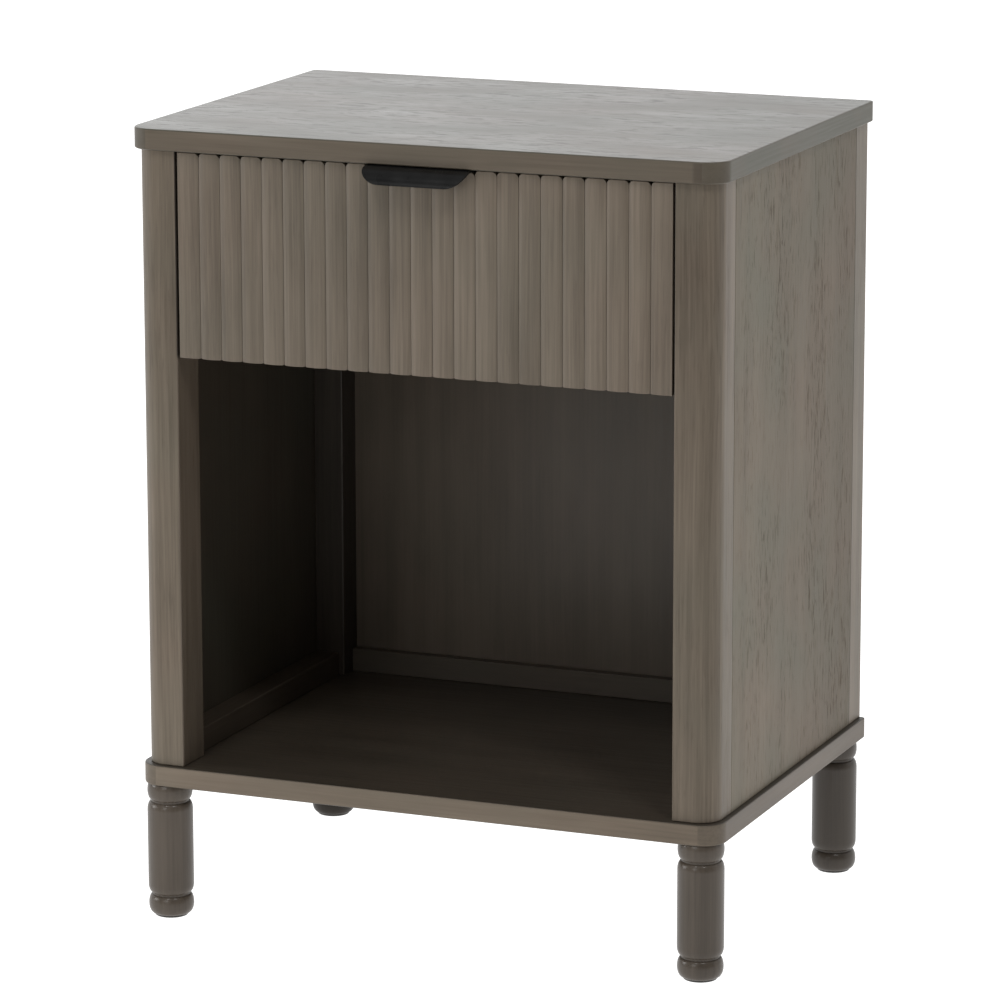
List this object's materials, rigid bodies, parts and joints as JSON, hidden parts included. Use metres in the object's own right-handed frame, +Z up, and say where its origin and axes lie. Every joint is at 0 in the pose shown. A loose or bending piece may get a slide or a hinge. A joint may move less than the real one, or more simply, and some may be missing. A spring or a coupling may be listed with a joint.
{
  "type": "side table",
  "caption": "Wooden side table with a reeded drawer front and black tab pull over an open shelf, rounded corner posts, slightly proud top and base, and short turned legs",
  "frame": {"origin": "on the floor, at the middle of the footprint with the drawer shut and its pull included", "axes": "+X to the right as seen from the front, -Y towards the front where the drawer opens, +Z up"},
  "size_m": [0.5, 0.375, 0.648],
  "materials": {
    "stained_wood": "grey-brown stain under satin lacquer",
    "stained_veneer": "open-grained veneer, grey-brown stain under satin lacquer",
    "leg_wood": "dark grey-brown stain under satin lacquer",
    "pale_ply": "clear matt lacquer",
    "black_metal": "fine satin black powder coat",
    "zinc": "bright zinc plate",
    "felt": "pressed felt"
  },
  "bodies": {
    "cabinet": {"top_panel": "stained_veneer", "base_panel": "stained_wood", "post_front_left": "stained_wood", "post_front_right": "stained_wood", "post_rear_left": "stained_wood", "post_rear_right": "stained_wood", "side_panel_left": "stained_veneer", "side_panel_right": "stained_veneer", "back_panel": "stained_veneer", "rail_lower_back": "stained_wood", "rail_upper_back": "stained_wood", "rail_upper_front": "stained_wood", "rail_lower_left": "stained_wood", "rail_lower_right": "stained_wood", "rail_upper_left": "stained_wood", "rail_upper_right": "stained_wood", "runner_rail_left": "stained_wood", "runner_rail_right": "stained_wood", "slide_outer_left": "zinc", "slide_outer_right": "zinc", "runner_screw_left_front": "zinc", "runner_screw_left_back": "zinc", "runner_screw_right_front": "zinc", "runner_screw_right_back": "zinc", "leg_front_left": "leg_wood", "leg_front_right": "leg_wood", "leg_rear_left": "leg_wood", "leg_rear_right": "leg_wood", "leg_bolt_front_left": "zinc", "leg_bolt_front_right": "zinc", "leg_bolt_rear_left": "zinc", "leg_bolt_rear_right": "zinc", "foot_pad_front_left": "felt", "foot_pad_front_right": "felt", "foot_pad_rear_left": "felt", "foot_pad_rear_right": "felt"},
    "drawer": {"drawer_front": "stained_wood", "drawer_box_front": "pale_ply", "drawer_side_left": "pale_ply", "drawer_side_right": "pale_ply", "drawer_box_back": "pale_ply", "drawer_bottom": "pale_ply", "drawer_pull": "black_metal", "pull_screw_left": "zinc", "pull_screw_right": "zinc", "front_screw_lower_left": "zinc", "front_screw_lower_right": "zinc", "front_screw_upper_left": "zinc", "front_screw_upper_right": "zinc", "slide_inner_left": "zinc", "slide_inner_right": "zinc", "drawer_slide_screw_left_front": "zinc", "drawer_slide_screw_left_back": "zinc", "drawer_slide_screw_right_front": "zinc", "drawer_slide_screw_right_back": "zinc"},
    "slide_middle_l": {"slide_middle_left": "zinc"},
    "slide_middle_r": {"slide_middle_right": "zinc"}
  },
  "joints": [
    {"name": "drawer_slide", "type": "slide", "parent": "cabinet", "child": "drawer", "axis": [0, -1, 0], "range_m": [0, 0.3]},
    {"name": "middle_slide_left", "type": "slide", "parent": "cabinet", "child": "slide_middle_l", "axis": [0, -1, 0], "range_m": [0, 0.15]},
    {"name": "middle_slide_right", "type": "slide", "parent": "cabinet", "child": "slide_middle_r", "axis": [0, -1, 0], "range_m": [0, 0.15]}
  ],
  "couplings": [
    {"joint": "middle_slide_left", "follows": "drawer_slide", "ratio": 0.5},
    {"joint": "middle_slide_right", "follows": "drawer_slide", "ratio": 0.5}
  ]
}
